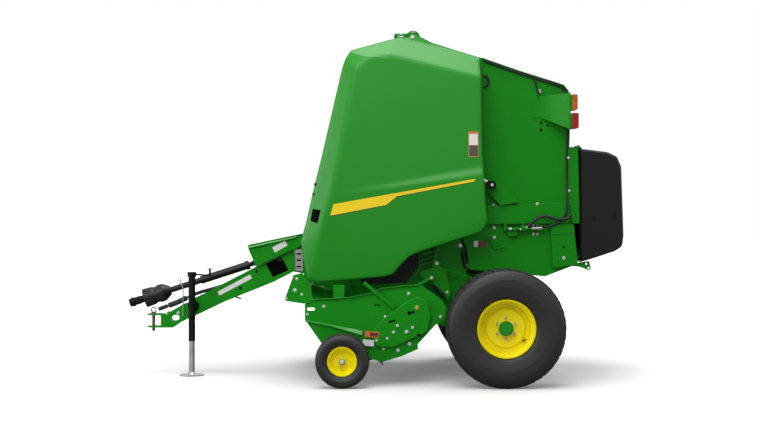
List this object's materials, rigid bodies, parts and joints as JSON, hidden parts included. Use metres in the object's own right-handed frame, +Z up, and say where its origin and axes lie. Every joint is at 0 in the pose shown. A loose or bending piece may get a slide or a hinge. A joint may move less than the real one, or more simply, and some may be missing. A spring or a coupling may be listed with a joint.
{
  "type": "round baler",
  "caption": "Drawn hay round baler with belt chamber, tailgate, wide pickup, side shields, net wrap cover and driveline.",
  "frame": {"origin": "on the ground under the middle of the machine's box", "axes": "+X to the rear, +Y to the machine's right, +Z up"},
  "size_m": [4.0188, 2.3638, 2.7683],
  "materials": {
    "green_paint": "satin farm green",
    "belt_rubber": "moulded belt rubber",
    "steel": "worn steel",
    "black_paint": "satin black",
    "black_plastic": "matt black",
    "tyre": "tyre rubber",
    "hose_rubber": "black hose rubber",
    "yellow_paint": "gloss yellow",
    "amber_lens": "clear amber",
    "red_lens": "clear red"
  },
  "bodies": {
    "frame": {"frame_side_left": "green_paint", "frame_side_right": "green_paint", "axle": "green_paint", "frame_beams": "green_paint", "front_panel": "green_paint", "inner_panels": "black_paint", "frame_rolls": "steel", "frame_belts": "belt_rubber", "drive_chain": "steel", "tongue": "green_paint", "hitch_clevis": "green_paint", "hitch_pin": "steel", "gearbox": "green_paint", "tongue_cover": "green_paint", "drawbar_fittings": "steel", "hoses": "hose_rubber", "jack_tube": "black_paint", "lower_brackets": "green_paint", "springs": "black_paint"},
    "gate": {"gate_side_left": "green_paint", "gate_side_right": "green_paint", "gate_beams": "green_paint", "gate_rolls": "steel", "gate_belts": "belt_rubber", "gate_latches": "green_paint", "gate_harness": "hose_rubber", "corner_boxes": "green_paint", "rear_brackets": "green_paint", "lamp_brackets": "green_paint", "amber_lamps": "amber_lens", "red_lamps": "red_lens", "net_box": "green_paint"},
    "net_cover": {"net_cover": "black_paint"},
    "shield_left": {"shield_left": "green_paint"},
    "shield_right": {"shield_right": "green_paint"},
    "barrel_left": {"gate_barrel_left": "black_paint"},
    "barrel_right": {"gate_barrel_right": "black_paint"},
    "rod_left": {"gate_rod_left": "steel"},
    "rod_right": {"gate_rod_right": "steel"},
    "wheel_left": {"main_tyre_left": "tyre", "main_rim_left": "yellow_paint"},
    "wheel_right": {"main_tyre_right": "tyre", "main_rim_right": "yellow_paint"},
    "pickup": {"pickup_side_left": "green_paint", "pickup_side_right": "green_paint", "pickup_beams": "green_paint", "strippers": "green_paint", "windguard": "green_paint", "drive_cover": "green_paint"},
    "reel": {"reel": "steel"},
    "gauge_wheel_left": {"gauge_tyre_left": "tyre", "gauge_rim_left": "yellow_paint"},
    "gauge_wheel_right": {"gauge_tyre_right": "tyre", "gauge_rim_right": "yellow_paint"},
    "lift_barrel": {"lift_barrel": "black_paint"},
    "lift_rod": {"lift_rod": "steel"},
    "jack_leg": {"jack_leg": "steel"},
    "driveline_rear": {"driveline_rear": "black_plastic"},
    "driveline_front": {"driveline_guard": "black_plastic", "driveline_yoke": "steel"}
  },
  "joints": [
    {"name": "gate_lift", "type": "hinge", "parent": "frame", "child": "gate", "pos_m": [0.35, 0, 2.66], "axis": [0, -1, 0], "range_deg": [0, 60]},
    {"name": "net_cover_lift", "type": "hinge", "parent": "gate", "child": "net_cover", "pos_m": [1.652, 0, 1.846], "axis": [0, -1, 0], "range_deg": [0, 70]},
    {"name": "shield_left_lift", "type": "hinge", "parent": "frame", "child": "shield_left", "pos_m": [0.25, -0.645, 2.725], "axis": [-1, 0, 0], "range_deg": [0, 70]},
    {"name": "barrel_left_swing", "type": "hinge", "parent": "frame", "child": "barrel_left", "pos_m": [-0.07, -0.722, 2.13], "axis": [0, -1, 0], "range_deg": [0, 47]},
    {"name": "rod_left_slide", "type": "slide", "parent": "barrel_left", "child": "rod_left", "axis": [0.8689, 0, -0.4951], "range_m": [0, 0.6]},
    {"name": "wheel_left_spin", "type": "hinge", "parent": "frame", "child": "wheel_left", "pos_m": [1.04, -1.01, 0.45], "axis": [0, 1, 0], "continuous": true},
    {"name": "gauge_wheel_left_spin", "type": "hinge", "parent": "pickup", "child": "gauge_wheel_left", "pos_m": [-0.197, -1.08, 0.206], "axis": [0, 1, 0], "continuous": true},
    {"name": "shield_right_lift", "type": "hinge", "parent": "frame", "child": "shield_right", "pos_m": [0.25, 0.645, 2.725], "axis": [1, 0, 0], "range_deg": [0, 70]},
    {"name": "barrel_right_swing", "type": "hinge", "parent": "frame", "child": "barrel_right", "pos_m": [-0.07, 0.722, 2.13], "axis": [0, -1, 0], "range_deg": [0, 47]},
    {"name": "rod_right_slide", "type": "slide", "parent": "barrel_right", "child": "rod_right", "axis": [0.8689, 0, -0.4951], "range_m": [0, 0.6]},
    {"name": "wheel_right_spin", "type": "hinge", "parent": "frame", "child": "wheel_right", "pos_m": [1.04, 1.01, 0.45], "axis": [0, 1, 0], "continuous": true},
    {"name": "gauge_wheel_right_spin", "type": "hinge", "parent": "pickup", "child": "gauge_wheel_right", "pos_m": [-0.197, 1.08, 0.206], "axis": [0, 1, 0], "continuous": true},
    {"name": "pickup_lift", "type": "hinge", "parent": "frame", "child": "pickup", "pos_m": [0.37, 0, 0.602], "axis": [0, 1, 0], "range_deg": [0, 8]},
    {"name": "reel_spin", "type": "hinge", "parent": "pickup", "child": "reel", "pos_m": [-0.08, 0, 0.335], "axis": [0, 1, 0], "continuous": true},
    {"name": "lift_barrel_swing", "type": "hinge", "parent": "frame", "child": "lift_barrel", "pos_m": [0.491, -0.712, 0.817], "axis": [0, -1, 0], "range_deg": [-0.1, 1]},
    {"name": "lift_rod_slide", "type": "slide", "parent": "lift_barrel", "child": "lift_rod", "axis": [-0.8591, 0, -0.5117], "range_m": [-0.019, 0.001]},
    {"name": "jack_slide", "type": "slide", "parent": "frame", "child": "jack_leg", "axis": [0, 0, 1], "range_m": [0, 0.25]},
    {"name": "driveline_swing", "type": "hinge", "parent": "frame", "child": "driveline_rear", "pos_m": [-0.96, 0, 0.908], "axis": [0, 1, 0], "range_deg": [0, 10]},
    {"name": "driveline_slide", "type": "slide", "parent": "driveline_rear", "child": "driveline_front", "axis": [-0.9519, 0, -0.3065], "range_m": [0, 0.15]}
  ],
  "couplings": [
    {"joint": "barrel_left_swing", "follows": "gate_lift", "ratio": 0.7691},
    {"joint": "rod_left_slide", "follows": "gate_lift", "m_per_rad": 0.5529},
    {"joint": "barrel_right_swing", "follows": "gate_lift", "ratio": 0.7691},
    {"joint": "rod_right_slide", "follows": "gate_lift", "m_per_rad": 0.5529},
    {"joint": "lift_barrel_swing", "follows": "pickup_lift", "ratio": 0.0487},
    {"joint": "lift_rod_slide", "follows": "pickup_lift", "m_per_rad": -0.1223}
  ]
}
